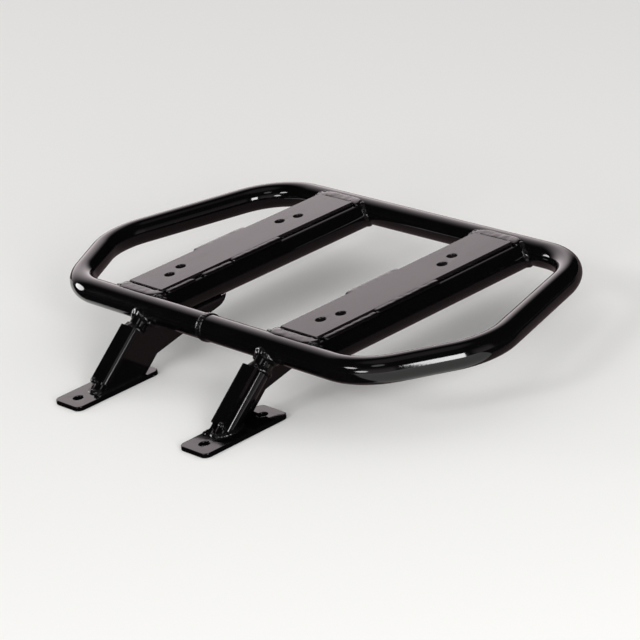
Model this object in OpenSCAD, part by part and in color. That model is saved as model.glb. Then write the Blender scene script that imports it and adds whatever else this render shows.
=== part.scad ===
// Motorcycle luggage rack: a six-sided loop of round tube with two pairs of rail tubes, a drilled
// plate on each pair, and two legs with folded sheet brackets and bolt-down feet.
// Millimetres. +X is the motorcycle's left, +Y its rear, +Z up. The origin is the middle of the
// four foot bolts, on the underside of the feet.

/* [Loop] */
// Outside diameter of the loop tube
tube_d = 22; // [20:0.5:25]
// Wall thickness of the loop tube and the rail tubes
tube_wall = 2; // [1.5:0.25:3]
// Half the distance between the two front corners, on the centre line
front_half_w = 181.5; // [175:0.5:190]
// Half the distance between the two rear corners, on the centre line
rear_half_w = 185.5; // [178:0.5:195]
// Half the distance between the two side corners, on the centre line
side_half_w = 237.5; // [230:0.5:245]
// Distance from the front bar to the rear bar, between centre lines
loop_l = 235; // [230:1:245]
// Distance of the side corners behind the front bar
side_corner_y = 82.5; // [76:0.5:90]
// Bend radius of all six corners, on the centre line
bend_r = 56; // [50:1:60]
// Gap between the two cut ends of the loop, filled by the ring weld
seam_gap = 1.2; // [0.8:0.1:2]

/* [Rails] */
// Outside diameter of the four rail tubes
rail_d = 22; // [20:0.5:22]
// Distance of each pair's middle from the rack's middle
pair_x = 97.5; // [94:0.5:102]
// Distance of each rail from its pair's middle
rail_offset = 23.5; // [22:0.5:26]
// Height of the rails' centre lines below the loop's
rail_drop = 2; // [1:0.5:3]

/* [Plates] */
// Width of each plate
plate_w = 44; // [42:1:48]
// Thickness of each plate
plate_t = 3; // [2.5:0.5:4]
// Gap from a bar's centre line to the plate's end
plate_end_gap = 13; // [12.5:0.5:14]
// Diameter of the plate holes, for M8 bolts
plate_hole_d = 8.5; // [6:0.5:9]
// Side-to-side spacing of the outer set of four holes, over both plates
set_a_x = 192; // [186:1:196]
// Front-to-rear spacing of the outer set of four holes
set_a_y = 140; // [130:1:150]
// Side-to-side spacing of the inner set of four holes, over both plates
set_b_x = 203; // [198:1:206]
// Front-to-rear spacing of the inner set of four holes
set_b_y = 108; // [100:1:114]
// Distance of the middle of both sets behind the front bar
holes_y = 108; // [104:1:112]
// Radius of the plate's corners
plate_corner_r = 1.5; // [1:0.5:3]

/* [Legs] */
// Outside diameter of the leg tubes
leg_d = 16; // [14:0.5:17]
// Wall thickness of the leg tubes
leg_wall = 2; // [1.5:0.25:2.5]
// Angle of the legs below the loop's plane
leg_angle = 40; // [38:1:43]
// Height of the loop's centre line above the underside of the feet
loop_z = 51; // [48:1:58]

/* [Brackets] */
// Thickness of the folded sheet
sheet_t = 3; // [2.5:0.5:3.5]
// Distance of the web's inner face from the rack's middle
web_x = 68; // [67:0.5:69]
// Width of the front flange, outside of the fold included
flange_w = 18; // [14:0.5:20]
// Inside radius of the fold
fold_r = 1; // [0.5:0.5:1.5]
// Distance of the flange's top from the front bar's centre line, down the leg
flange_top = 21.7; // [20:0.1:26]
// Length of the front flange
flange_l = 51.5; // [44:0.5:54]
// Depth of the web behind the leg's centre line
web_back = 21.5; // [18:0.5:24]
// Distance of the web's rear kink from the front bar's centre line, down the leg
kink_down = 28; // [26:0.5:32]
// Reach of the web behind the front bar's centre line
web_reach = 71; // [66:1:76]
// Radius of the web's rear corner
web_corner_r = 12; // [8:1:14]

/* [Feet] */
// Thickness of the foot plates
foot_t = 4; // [3:0.5:6]
// Width of the foot plates
foot_w = 34; // [33:1:38]
// Margin of the foot plates before and behind the bolt holes
foot_margin = 13; // [11:1:16]
// Side-to-side spacing of the foot bolts
foot_bolt_x = 164; // [164:0.5:165]
// Front-to-rear spacing of the foot bolts
foot_bolt_y = 58; // [58:0.5:60]
// Distance of the foot's middle behind the point where the leg's centre line meets it
foot_shift = 4; // [2:0.5:8]
// Diameter of the foot bolt holes, for M8 bolts
foot_hole_d = 8.5; // [6:0.5:9]
// Radius of the foot plates' corners
foot_corner_r = 6; // [3:1:8]

/* [Welds] */
// Thickness of the welds around the rail tubes
rail_weld = 3; // [2:0.5:3.5]
// Thickness of the welds around the leg tubes
leg_weld = 2.8; // [2:0.2:3]
// Radius of the beads along sheet and plate edges
edge_weld = 2.2; // [1.8:0.2:2.6]
// Radius of the beads across the plates' ends
end_weld = 3.6; // [3.4:0.1:4]
// Start of the edge beads behind the front bar
edge_weld_start = 83; // [78:1:90]
// Length of the edge beads
edge_weld_l = 58; // [40:1:64]
// Width of the ring weld on the loop's joint
seam_weld_w = 6; // [5:0.5:8]
// Height of the ring weld above the tube
seam_weld_h = 1.2; // [0.8:0.1:1.6]

/* [Hidden] */
$fn = 64;
// Facets round the loop tube, which has the most curved surface
loop_facets = 32;
left = 1;
right = -1;
// Clearance of a mitred tube end or sheet edge from the tube that it is welded to
fit_gap = 0.3;
// Overlap past a face that a cutter opens
cut = 1;
// Step from the web's straight edges to its corner's arc
corner_step = 0.05;
// Step from the fold back to the web's front edge at the flange's ends
bend_relief = 0.5;
// Wall that bending takes off the tube's outside and inside
bend_draw = 0.1;
// Angle by which a bend runs on into the straight tube
bend_run_on = 0.5;
// More than the height of any piece, for cutters with no end of their own
far = 200;
paint = "#16171a";
weld_paint = "#202126";

tube_r = tube_d / 2;
tube_bore_r = tube_r - tube_wall;
rail_r = rail_d / 2;
rail_bore_r = rail_r - tube_wall;
rail_z = -rail_drop;
outer_rail_x = pair_x + rail_offset;
inner_rail_x = pair_x - rail_offset;
// The rails start this far behind the bar's centre line, so that no lip runs under the bar
rail_start = 5;

plate_under = rail_z + rail_r;
plate_top = plate_under + plate_t;
plate_l = loop_l - 2 * plate_end_gap;
// Below this height the rail welds close the joint, and above it the plate end beads do
weld_split = plate_under - rail_weld;

leg_r = leg_d / 2;
leg_bore_r = leg_r - leg_wall;
leg_x = web_x + sheet_t + fit_gap + leg_r;
foot_top = foot_t - loop_z;
foot_y = foot_top / tan(leg_angle) + foot_shift;
foot_hole_x = foot_bolt_x / 2;
foot_l = foot_bolt_y + 2 * foot_margin;
front_bar_y = -foot_y;

fold_outer_r = fold_r + sheet_t;
flange_front = leg_r + fit_gap + sheet_t;
// The web's front edge stands back from the fold, as a relief at the flange's ends
web_front = flange_front - fold_outer_r - bend_relief;
web_corner_z = -rail_drop - rail_r + 5;

// Loop corners from front left round to front right, seen from above
corners = [[front_half_w, 0], [side_half_w, side_corner_y], [rear_half_w, loop_l],
           [-rear_half_w, loop_l], [-side_half_w, side_corner_y], [-front_half_w, 0]];
seam_end = [seam_gap / 2, 0];
route = concat([seam_end], corners, [-seam_end]);
last = len(corners);

function unit(v) = v / norm(v);
function heading(a, b) = atan2(b.y - a.y, b.x - a.x);
function turn(i) = (heading(route[i], route[i + 1]) - heading(route[i - 1], route[i]) + 360) % 360;
// Length of straight tube that a corner's bend takes away on each side
function trim(i) = (i == 0 || i > last) ? 0 : bend_r * tan(turn(i) / 2);

// A point beside the leg: down the leg from the front bar, and forward of its centre line
function by_leg(down, ahead) = [-down * cos(leg_angle) - ahead * sin(leg_angle),
                                -down * sin(leg_angle) + ahead * cos(leg_angle)];

// Where a line beside the leg reaches the foot, behind the front bar
function by_leg_y_at_foot(ahead) =
    let (down = (ahead * cos(leg_angle) - foot_top) / sin(leg_angle))
    by_leg(down, ahead).x;

// Tangent point on a circle of radius r round c, for a line from p that passes under it
function under_tangent(p, c, r) =
    let (d = norm(c - p), a = heading(p, c) - asin(r / d), reach = sqrt(d * d - r * r))
    p + reach * [cos(a), sin(a)];

// Puts what is drawn from the front bar's centre into the part's frame
module from_front_bar() {
    translate([0, front_bar_y, loop_z]) children();
}

module on_side(side) {
    mirror([side == left ? 0 : 1, 0, 0]) children();
}

module along_x(r, l) {
    rotate([0, 90, 0]) cylinder(r = r, h = l, center = true);
}

module along_y(r, start, end) {
    translate([0, start, 0]) rotate([-90, 0, 0]) cylinder(r = r, h = end - start);
}

// The front and rear bars' straight tube, as a cutter or a guide
module bars(r) {
    along_x(r, 2 * front_half_w);
    translate([0, loop_l, 0]) along_x(r, 2 * front_half_w);
}

// The loop tube's wall, seen along the tube
module loop_section(draw = 0) {
    difference() {
        circle(r = tube_r - draw);
        circle(r = tube_bore_r + draw);
    }
}

module loop_straight(i) {
    way = unit(route[i + 1] - route[i]);
    from = route[i] + way * trim(i);
    to = route[i + 1] - way * trim(i + 1);
    translate([from.x, from.y, 0])
        rotate([0, 0, heading(from, to)])
        rotate([90, 0, 90])
        linear_extrude(norm(to - from))
        loop_section();
}

// A corner's bend, which the bending draws a hair thinner and which runs on into both straights
module loop_bend(i) {
    way = unit(route[i] - route[i - 1]);
    centre = route[i] - way * trim(i) + bend_r * [-way.y, way.x];
    translate([centre.x, centre.y, 0])
        rotate([0, 0, heading(route[i - 1], route[i]) - 90 - bend_run_on])
        rotate_extrude(angle = turn(i) + 2 * bend_run_on)
        translate([bend_r, 0])
        loop_section(bend_draw);
}

module loop_tube() {
    $fn = loop_facets;
    color(paint) from_front_bar() {
        for (i = [0 : last]) loop_straight(i);
        for (i = [1 : last]) loop_bend(i);
    }
}

// Root of the weld in the gap, and its crown over both tube ends
module loop_seam_weld() {
    color(weld_paint) from_front_bar() rotate([0, 90, 0]) rotate_extrude() {
        translate([tube_bore_r, -seam_gap / 2]) square([tube_wall, seam_gap]);
        translate([tube_r, 0]) intersection() {
            scale([seam_weld_h, seam_weld_w / 2]) circle(r = 1);
            translate([0, -seam_weld_w]) square([seam_weld_w, 2 * seam_weld_w]);
        }
    }
}

module rail(side, x) {
    color(paint) from_front_bar() on_side(side) difference() {
        translate([x, 0, rail_z]) difference() {
            along_y(rail_r, rail_start, loop_l - rail_start);
            along_y(rail_bore_r, 0, loop_l);
        }
        bars(tube_r + fit_gap);
    }
}

// Both ends' weld metal of a rail, where the thickened rail and bar would meet
module rail_bead(x) {
    intersection() {
        bars(tube_r + rail_weld);
        translate([x, 0, rail_z]) along_y(rail_r + rail_weld, rail_start, loop_l - rail_start);
        translate([x - far / 2, 0, weld_split - far]) cube([far, loop_l, far]);
    }
}

module rail_welds(side, x) {
    color(weld_paint) from_front_bar() on_side(side) difference() {
        rail_bead(x);
        bars(tube_r);
        translate([x, 0, rail_z]) along_y(rail_r, 0, loop_l);
        bracket_body();
    }
}

module rounded_slab(w, l, t, r) {
    linear_extrude(t) union() {
        translate([-w / 2 + r, -l / 2]) square([w - 2 * r, l]);
        translate([-w / 2, -l / 2 + r]) square([w, l - 2 * r]);
        for (x = [-1, 1], y = [-1, 1])
            translate([x * (w / 2 - r), y * (l / 2 - r)]) circle(r = r);
    }
}

// One plate's share of a set of four holes
module hole_pair(spacing_x, spacing_y) {
    for (end = [-1, 1])
        translate([spacing_x / 2, holes_y + end * spacing_y / 2, plate_under - cut])
            cylinder(d = plate_hole_d, h = plate_t + 2 * cut);
}

module plate(side) {
    color(paint) from_front_bar() on_side(side) difference() {
        translate([pair_x, loop_l / 2, plate_under])
            rounded_slab(plate_w, plate_l, plate_t, plate_corner_r);
        hole_pair(set_a_x, set_a_y);
        hole_pair(set_b_x, set_b_y);
    }
}

module plate_end_welds(side) {
    bead_y = plate_end_gap - end_weld + 0.5;
    color(weld_paint) from_front_bar() on_side(side) difference() {
        for (y = [bead_y, loop_l - bead_y])
            translate([pair_x, y, plate_top - end_weld]) along_x(end_weld, plate_w);
        bars(tube_r);
        translate([pair_x - plate_w, plate_end_gap, plate_under])
            cube([2 * plate_w, plate_l, plate_t + cut]);
        for (x = [inner_rail_x, outer_rail_x])
            translate([x, 0, rail_z]) along_y(rail_r, 0, loop_l);
        translate([pair_x - far / 2, 0, weld_split - far]) cube([far, loop_l, far]);
    }
}

// Beads along the middle of both long edges, between the plate's edge and the rail's crown
module plate_edge_welds(side) {
    color(weld_paint) from_front_bar() on_side(side) difference() {
        for (edge = [-1, 1])
            translate([pair_x + edge * (plate_w / 2 + edge_weld / 3), 0, plate_top - edge_weld])
                along_y(edge_weld, edge_weld_start, edge_weld_start + edge_weld_l);
        translate([pair_x - plate_w / 2, 0, plate_under]) cube([plate_w, loop_l, plate_t + cut]);
        for (x = [inner_rail_x, outer_rail_x])
            translate([x, 0, rail_z]) along_y(rail_r, 0, loop_l);
    }
}

// A round bar down the leg's centre line, from the front bar to below the foot
module leg_rod(r, start = 0) {
    translate([leg_x, 0, 0]) rotate([90 + leg_angle, 0, 0]) translate([0, 0, start])
        cylinder(r = r, h = far - start);
}

module under_foot_top() {
    translate([-far, -2 * far, foot_top - 2 * far]) cube([2 * far, 4 * far, 2 * far]);
}

module leg(side) {
    color(paint) from_front_bar() on_side(side) difference() {
        leg_rod(leg_r);
        leg_rod(leg_bore_r);
        bars(tube_r + fit_gap);
        under_foot_top();
    }
}

module leg_weld_ring(side) {
    color(weld_paint) from_front_bar() on_side(side) difference() {
        intersection() {
            along_x(tube_r + leg_weld, 2 * front_half_w);
            leg_rod(leg_r + leg_weld);
        }
        bars(tube_r);
        leg_rod(leg_r);
        bracket_body();
    }
}

module circle_at(centre, r) {
    translate(centre) circle(r = r);
}

// The blank's outline seen from the side: the web, with the flange's stretch reaching further
// forward, and the web's rear corner rounded
module bracket_outline() {
    corner = [web_reach - web_corner_r, web_corner_z];
    kink = by_leg(kink_down, -web_back);
    tangent = under_tangent(kink, corner, web_corner_r);
    slope = (tangent.y - kink.y) / (tangent.x - kink.x);
    low = far / 2;
    flange_end = flange_top + flange_l;
    ahead = flange_front + cut;
    difference() {
        polygon([[0, 0], [web_reach, 0], [web_reach, kink.y + slope * (web_reach - kink.x)], kink,
                 by_leg(low, -web_back), by_leg(low, web_front), by_leg(flange_end, web_front),
                 by_leg(flange_end, ahead), by_leg(flange_top, ahead), by_leg(flange_top, 0)]);
        difference() {
            polygon([corner, corner + 2 * (tangent - corner), corner + 2 * web_corner_r * [1, -1],
                     corner + 2 * web_corner_r * [1, 0]]);
            circle_at(corner, web_corner_r - corner_step);
        }
    }
}

// The folded sheet, seen along the leg: the web, the fold and the flange
module bracket_section() {
    fold = [web_x + fold_outer_r, flange_front - fold_outer_r];
    difference() {
        union() {
            circle_at(fold, fold_outer_r);
            translate([web_x, fold.y - far]) square([fold_outer_r, far]);
            translate(fold) square([flange_w - fold_outer_r, fold_outer_r]);
        }
        circle_at(fold, fold_r);
        translate([web_x + sheet_t, fold.y - far - cut]) square([far, far + cut]);
        translate([fold.x, fold.y - far]) square([far, far + fold_r]);
    }
}

module bracket_body() {
    difference() {
        intersection() {
            rotate([90 + leg_angle, 0, 0]) translate([0, 0, -far / 2])
                linear_extrude(far) bracket_section();
            rotate([90, 0, 90]) linear_extrude(far) bracket_outline();
        }
        bars(tube_r + fit_gap);
        translate([inner_rail_x, 0, rail_z]) along_y(rail_r + fit_gap, 0, loop_l);
        under_foot_top();
    }
}

module bracket(side) {
    color(paint) from_front_bar() on_side(side) bracket_body();
}

// A bead along the rail's underside, one round the front bar, both on the web's inner face, and
// one that ties the flange's lower end to the leg
module bracket_welds(side) {
    reach = web_reach - 2 * edge_weld;
    start = tube_r + rail_weld + 1;
    flange_end = by_leg(flange_top + flange_l, flange_front - sheet_t / 2);
    color(weld_paint) from_front_bar() on_side(side) difference() {
        union() {
            translate([web_x, 0, rail_z - rail_r]) along_y(edge_weld, start, reach);
            intersection() {
                along_x(tube_r + edge_weld, 2 * front_half_w);
                translate([web_x - edge_weld, -far, -far])
                    cube([edge_weld, 2 * far, far - tube_r / 2]);
                rotate([-leg_angle, 0, 0]) translate([0, 0, -far])
                    cube([far, 2 * far, 2 * far], center = true);
            }
            translate([(leg_x + web_x + flange_w) / 2, flange_end.x, flange_end.y])
                along_x(edge_weld, web_x + flange_w - leg_x);
        }
        bars(tube_r);
        translate([inner_rail_x, 0, rail_z]) along_y(rail_r, 0, loop_l);
        rail_bead(inner_rail_x);
        bracket_body();
        leg_rod(leg_r);
    }
}

module foot(side) {
    color(paint) on_side(side) difference() {
        translate([foot_hole_x, 0, 0]) rounded_slab(foot_w, foot_l, foot_t, foot_corner_r);
        for (end = [-1, 1])
            translate([foot_hole_x, end * foot_bolt_y / 2, -cut])
                cylinder(d = foot_hole_d, h = foot_t + 2 * cut);
    }
}

// Beads round the leg and along the web's inner face, on the foot
module foot_welds(side) {
    web_rear = front_bar_y + by_leg_y_at_foot(-web_back);
    web_front = front_bar_y + by_leg_y_at_foot(flange_front);
    color(weld_paint) on_side(side) difference() {
        union() {
            intersection() {
                from_front_bar() leg_rod(leg_r + leg_weld);
                translate([0, -far, foot_t]) cube([far, 2 * far, leg_weld]);
            }
            translate([web_x, 0, foot_t]) along_y(edge_weld, web_front, web_rear);
        }
        from_front_bar() {
            leg_rod(leg_r);
            bracket_body();
        }
        translate([0, -far, foot_t - far]) cube([far, 2 * far, far]);
    }
}

loop_tube();
loop_seam_weld();
rail(left, outer_rail_x);  // left_outer_rail
rail(left, inner_rail_x);  // left_inner_rail
rail(right, inner_rail_x);  // right_inner_rail
rail(right, outer_rail_x);  // right_outer_rail
plate(left);  // left_plate
plate(right);  // right_plate
leg(left);  // left_leg
leg(right);  // right_leg
bracket(left);  // left_bracket
bracket(right);  // right_bracket
foot(left);  // left_foot
foot(right);  // right_foot
rail_welds(left, outer_rail_x);  // left_outer_rail_welds
rail_welds(left, inner_rail_x);  // left_inner_rail_welds
rail_welds(right, inner_rail_x);  // right_inner_rail_welds
rail_welds(right, outer_rail_x);  // right_outer_rail_welds
plate_end_welds(left);  // left_plate_end_welds
plate_end_welds(right);  // right_plate_end_welds
plate_edge_welds(left);  // left_plate_edge_welds
plate_edge_welds(right);  // right_plate_edge_welds
leg_weld_ring(left);  // left_leg_weld
leg_weld_ring(right);  // right_leg_weld
bracket_welds(left);  // left_bracket_welds
bracket_welds(right);  // right_bracket_welds
foot_welds(left);  // left_foot_welds
foot_welds(right);  // right_foot_welds
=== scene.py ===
import math

import bmesh
import bpy
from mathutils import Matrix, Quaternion, Vector
from mathutils.geometry import tessellate_polygon


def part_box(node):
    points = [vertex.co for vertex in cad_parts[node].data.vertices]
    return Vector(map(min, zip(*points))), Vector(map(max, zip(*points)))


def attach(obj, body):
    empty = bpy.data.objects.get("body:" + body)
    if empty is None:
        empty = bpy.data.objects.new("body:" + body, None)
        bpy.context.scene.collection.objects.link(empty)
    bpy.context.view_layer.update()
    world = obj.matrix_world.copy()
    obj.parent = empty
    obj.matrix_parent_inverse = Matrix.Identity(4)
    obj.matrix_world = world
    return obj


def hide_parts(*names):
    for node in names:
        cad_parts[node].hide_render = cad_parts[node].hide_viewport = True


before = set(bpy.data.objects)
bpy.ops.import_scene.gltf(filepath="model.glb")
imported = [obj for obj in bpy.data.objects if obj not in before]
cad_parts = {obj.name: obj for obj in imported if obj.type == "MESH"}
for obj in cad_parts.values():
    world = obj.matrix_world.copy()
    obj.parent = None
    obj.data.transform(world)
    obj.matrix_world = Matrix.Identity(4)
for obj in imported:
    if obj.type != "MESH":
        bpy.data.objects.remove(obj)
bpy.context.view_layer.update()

# ---------------------------------------------------------------------------------------------
# Loop tube. One length of 22 mm welded steel tube, bent cold round a 56 mm former at six
# corners, so that it comes back to its own start in the middle of the front bar. It lies flat,
# 51 mm over the feet, and the whole weldment is powder coated gloss black after welding.
# ---------------------------------------------------------------------------------------------
MM = 0.001
TUBE_R = 11.0
FRONT_HALF_W = 181.5
REAR_HALF_W = 185.5
SIDE_HALF_W = 237.5
SIDE_CORNER_Y = 82.5
LOOP_L = 235.0
BEND_R = 56.0
BEND_STEPS = 28
TUBE_FACETS = 72
SKIN_DRAW = 0.12            # bending draws the tube this much thinner
PEEL_SIZE = 2.4
PEEL_DEPTH = 0.009
NIB_SPACING = 14.0
PATCH_SIZE = 45.0
COAT_IOR = 1.52

front_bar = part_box("loop_seam_weld")
BAR_Y = (front_bar[0][1] + front_bar[1][1]) / 2 / MM
BAR_Z = (front_bar[0][2] + front_bar[1][2]) / 2 / MM


def from_bar(x, y, z):
    """A point in millimetres from the front bar's middle, as a place in the part."""
    return Vector((x, y + BAR_Y, z + BAR_Z)) * MM


def linear(code):
    """An sRGB hex colour as the linear colour that a shader takes."""
    channels = [int(code[i:i + 2], 16) / 255 for i in (1, 3, 5)]
    return [c / 12.92 if c <= 0.04045 else ((c + 0.055) / 1.055) ** 2.4 for c in channels] + [1.0]


def add_node(tree, kind, inputs=None, **settings):
    """Adds a node with its settings; an input is a value or another node's output."""
    made = tree.nodes.new(kind)
    for key, value in settings.items():
        setattr(made, key, value)
    for key, value in (inputs or {}).items():
        if isinstance(value, bpy.types.NodeSocket):
            tree.links.new(value, made.inputs[key])
        else:
            made.inputs[key].default_value = value
    return made


def new_finish(name):
    """An empty material and its shader."""
    finish = bpy.data.materials.new(name)
    finish.use_nodes = True
    return finish, finish.node_tree, finish.node_tree.nodes["Principled BSDF"]


def join_rack(name, mesh, finish, slot, *nodes):
    """Puts a finished mesh in the scene as a piece of the rack, in place of its CAD nodes."""
    piece = bpy.data.objects.new(name, mesh)
    bpy.context.collection.objects.link(piece)
    mesh.materials.clear()
    mesh.materials.append(finish)
    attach(piece, "root")
    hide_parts(*nodes)
    return piece


def baked(carrier):
    """The mesh that an object's modifiers give; the object itself is thrown away."""
    ready = carrier.evaluated_get(bpy.context.evaluated_depsgraph_get())
    mesh = bpy.data.meshes.new_from_object(ready)
    for modifier in list(carrier.modifiers):
        carrier.modifiers.remove(modifier)
    bpy.data.objects.remove(carrier)
    return mesh


# Gloss black polyester powder coat, sprayed and stoved on phosphated steel. It melts into a
# thick even skin: deep black, wet looking, with a faint orange peel of about 2 mm and a few
# trapped nibs of dust. Handling leaves it a little duller in patches.
tube_coat, tree, shader = new_finish("gloss_black_powder_coat_on_tube")
place = add_node(tree, "ShaderNodeTexCoord").outputs["Object"]
peel = add_node(tree, "ShaderNodeTexNoise",
                {"Vector": place, "Scale": 1 / (PEEL_SIZE * MM), "Detail": 1.5,
                 "Roughness": 0.4})
nib_cells = add_node(tree, "ShaderNodeTexVoronoi",
                     {"Vector": place, "Scale": 1 / (NIB_SPACING * MM)})
nibs = add_node(tree, "ShaderNodeMapRange",
                {"Value": nib_cells.outputs["Distance"], "From Min": 0.0, "From Max": 0.045,
                 "To Min": 1.6, "To Max": 0.0}, interpolation_type="SMOOTHSTEP")
skin = add_node(tree, "ShaderNodeMath",
                {0: peel.outputs["Fac"], 1: nibs.outputs["Result"]}, operation="ADD")
relief = add_node(tree, "ShaderNodeBump",
                  {"Height": skin.outputs["Value"], "Strength": 1.0,
                   "Distance": PEEL_DEPTH * MM})
patches = add_node(tree, "ShaderNodeTexNoise",
                   {"Vector": place, "Scale": 1 / (PATCH_SIZE * MM), "Detail": 6.0,
                    "Roughness": 0.62})
dulling = add_node(tree, "ShaderNodeMapRange",
                   {"Value": patches.outputs["Fac"], "From Min": 0.35, "From Max": 0.7,
                    "To Min": 0.045, "To Max": 0.11})
shade = add_node(tree, "ShaderNodeMix", {"Factor": patches.outputs["Fac"]}, data_type="RGBA")
shade.inputs["A"].default_value = linear("#030303")
shade.inputs["B"].default_value = linear("#080708")
tree.links.new(shade.outputs["Result"], shader.inputs["Base Color"])
tree.links.new(dulling.outputs["Result"], shader.inputs["Roughness"])
tree.links.new(relief.outputs["Normal"], shader.inputs["Normal"])
shader.inputs["IOR"].default_value = COAT_IOR

# The tree bends a six-cornered path round the former and sweeps the tube along it.
bending = bpy.data.node_groups.new("bend_and_sweep_tube", "GeometryNodeTree")
ask = bending.interface.new_socket
ask("Path", in_out="INPUT", socket_type="NodeSocketGeometry")
ask("Bend radius", in_out="INPUT", socket_type="NodeSocketFloat")
ask("Steps in a bend", in_out="INPUT", socket_type="NodeSocketInt")
ask("Tube radius", in_out="INPUT", socket_type="NodeSocketFloat")
ask("Facets round", in_out="INPUT", socket_type="NodeSocketInt")
ask("Coat", in_out="INPUT", socket_type="NodeSocketMaterial")
ask("Tube", in_out="OUTPUT", socket_type="NodeSocketGeometry")
given = add_node(bending, "NodeGroupInput").outputs
bends = add_node(bending, "GeometryNodeFilletCurve",
                 {"Curve": given["Path"], "Count": given["Steps in a bend"],
                  "Radius": given["Bend radius"]}, mode="POLY")
section = add_node(bending, "GeometryNodeCurvePrimitiveCircle",
                   {"Resolution": given["Facets round"], "Radius": given["Tube radius"]})
sweep = add_node(bending, "GeometryNodeCurveToMesh",
                 {"Curve": bends.outputs["Curve"], "Profile Curve": section.outputs["Curve"]})
smooth = add_node(bending, "GeometryNodeSetShadeSmooth", {0: sweep.outputs["Mesh"]})
whole = add_node(bending, "GeometryNodeRealizeInstances", {0: smooth.outputs[0]})
coated = add_node(bending, "GeometryNodeSetMaterial",
                  {0: whole.outputs[0], "Material": given["Coat"]})
add_node(bending, "NodeGroupOutput", {"Tube": coated.outputs[0]})

path = bpy.data.curves.new("loop_path", "CURVE")
path.dimensions = "3D"
corners = [(FRONT_HALF_W, 0), (SIDE_HALF_W, SIDE_CORNER_Y), (REAR_HALF_W, LOOP_L),
           (-REAR_HALF_W, LOOP_L), (-SIDE_HALF_W, SIDE_CORNER_Y), (-FRONT_HALF_W, 0)]
run = path.splines.new("POLY")
run.points.add(len(corners) - 1)
run.use_cyclic_u = True
for point, (x, y) in zip(run.points, corners):
    point.co = (*from_bar(x, y, 0), 1)
carrier = bpy.data.objects.new("loop_path", path)
bpy.context.collection.objects.link(carrier)
bend = carrier.modifiers.new("bend", "NODES")
bend.node_group = bending
sockets = {s.name: s.identifier for s in bending.interface.items_tree if s.in_out == "INPUT"}
bend[sockets["Bend radius"]] = BEND_R * MM
bend[sockets["Steps in a bend"]] = BEND_STEPS
bend[sockets["Tube radius"]] = (TUBE_R - SKIN_DRAW) * MM
bend[sockets["Facets round"]] = TUBE_FACETS
bend[sockets["Coat"]] = tube_coat
join_rack("bent_loop_tube", baked(carrier), tube_coat, "frame_coat", "loop_tube")

# ---------------------------------------------------------------------------------------------
# Loop joint weld. The tube's two ends meet in the middle of the front bar and a ring of weld
# metal closes them: a low crowned bead with the ripples that the puddle leaves as it is
# carried round, under the same black coat.
# ---------------------------------------------------------------------------------------------
SEAM_HALF_W = 3.1
SEAM_CROWN = 1.05
SEAM_RIPPLE = 2.4
SEAM_POINTS = 96
TURN = 2 * math.pi
GRIT_SIZE = 1.8
GRIT_DEPTH = 0.018
PIT_SPACING = 2.6
BEAD_FACETS = 20
STEPS_IN_RIPPLE = 7.0
RIPPLE_LAG = 0.75           # how far a ripple's crest lies off its feet, in ripples
NOISE_MIDDLE = 0.62         # over the noise's mean, so that a bead dips more than it swells
END_BLUNTNESS = 1.02        # a little over 1, so that an open end keeps a small flat

# Powder coat over weld metal. The coat pulls thin on the ripples' crests and pools in the
# grooves, so it is rougher than on the tube and glints in small points.
weld_coat, tree, shader = new_finish("black_powder_coat_on_weld_beads")
place = add_node(tree, "ShaderNodeTexCoord").outputs["Object"]
grit = add_node(tree, "ShaderNodeTexNoise",
                {"Vector": place, "Scale": 1 / (GRIT_SIZE * MM), "Detail": 2.0,
                 "Roughness": 0.5})
pits = add_node(tree, "ShaderNodeTexVoronoi",
                {"Vector": place, "Scale": 1 / (PIT_SPACING * MM)})
skin = add_node(tree, "ShaderNodeMath",
                {0: grit.outputs["Fac"], 1: pits.outputs["Distance"]}, operation="ADD")
relief = add_node(tree, "ShaderNodeBump",
                  {"Height": skin.outputs["Value"], "Strength": 1.0,
                   "Distance": GRIT_DEPTH * MM})
dulling = add_node(tree, "ShaderNodeMapRange",
                   {"Value": grit.outputs["Fac"], "From Min": 0.3, "From Max": 0.7,
                    "To Min": 0.14, "To Max": 0.26})
shade = add_node(tree, "ShaderNodeMix", {"Factor": grit.outputs["Fac"]}, data_type="RGBA")
shade.inputs["A"].default_value = linear("#040404")
shade.inputs["B"].default_value = linear("#0b0a0b")
tree.links.new(shade.outputs["Result"], shader.inputs["Base Color"])
tree.links.new(dulling.outputs["Result"], shader.inputs["Roughness"])
tree.links.new(relief.outputs["Normal"], shader.inputs["Normal"])
shader.inputs["IOR"].default_value = COAT_IOR

# The tree lays a rippled bead along each path. A path's points say which way the bead's crown
# faces, how thick it is and how high. Ripples run as crescents over the crown, and open ends
# round off. In a turn tighter than its half width a bead overlaps itself on the inside.
laying = bpy.data.node_groups.new("lay_weld_bead", "GeometryNodeTree")
ask = laying.interface.new_socket
ask("Paths", in_out="INPUT", socket_type="NodeSocketGeometry")
ask("Ripple pitch", in_out="INPUT", socket_type="NodeSocketFloat")
ask("Ripple height", in_out="INPUT", socket_type="NodeSocketFloat")
ask("Unevenness", in_out="INPUT", socket_type="NodeSocketFloat")
ask("Lump size", in_out="INPUT", socket_type="NodeSocketFloat")
ask("Seed", in_out="INPUT", socket_type="NodeSocketFloat")
ask("Coat", in_out="INPUT", socket_type="NodeSocketMaterial")
ask("Beads", in_out="OUTPUT", socket_type="NodeSocketGeometry")
given = add_node(laying, "NodeGroupInput").outputs
line = add_node(laying, "GeometryNodeMeshToCurve", {"Mesh": given["Paths"]})
step = add_node(laying, "ShaderNodeMath", {0: given["Ripple pitch"], 1: STEPS_IN_RIPPLE},
                operation="DIVIDE")
fine = add_node(laying, "GeometryNodeResampleCurve",
                {"Curve": line.outputs["Curve"], "Length": step.outputs[0]}, mode="LENGTH")
facing = add_node(laying, "GeometryNodeInputNamedAttribute", {"Name": "facing"},
                  data_type="FLOAT_VECTOR")
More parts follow.
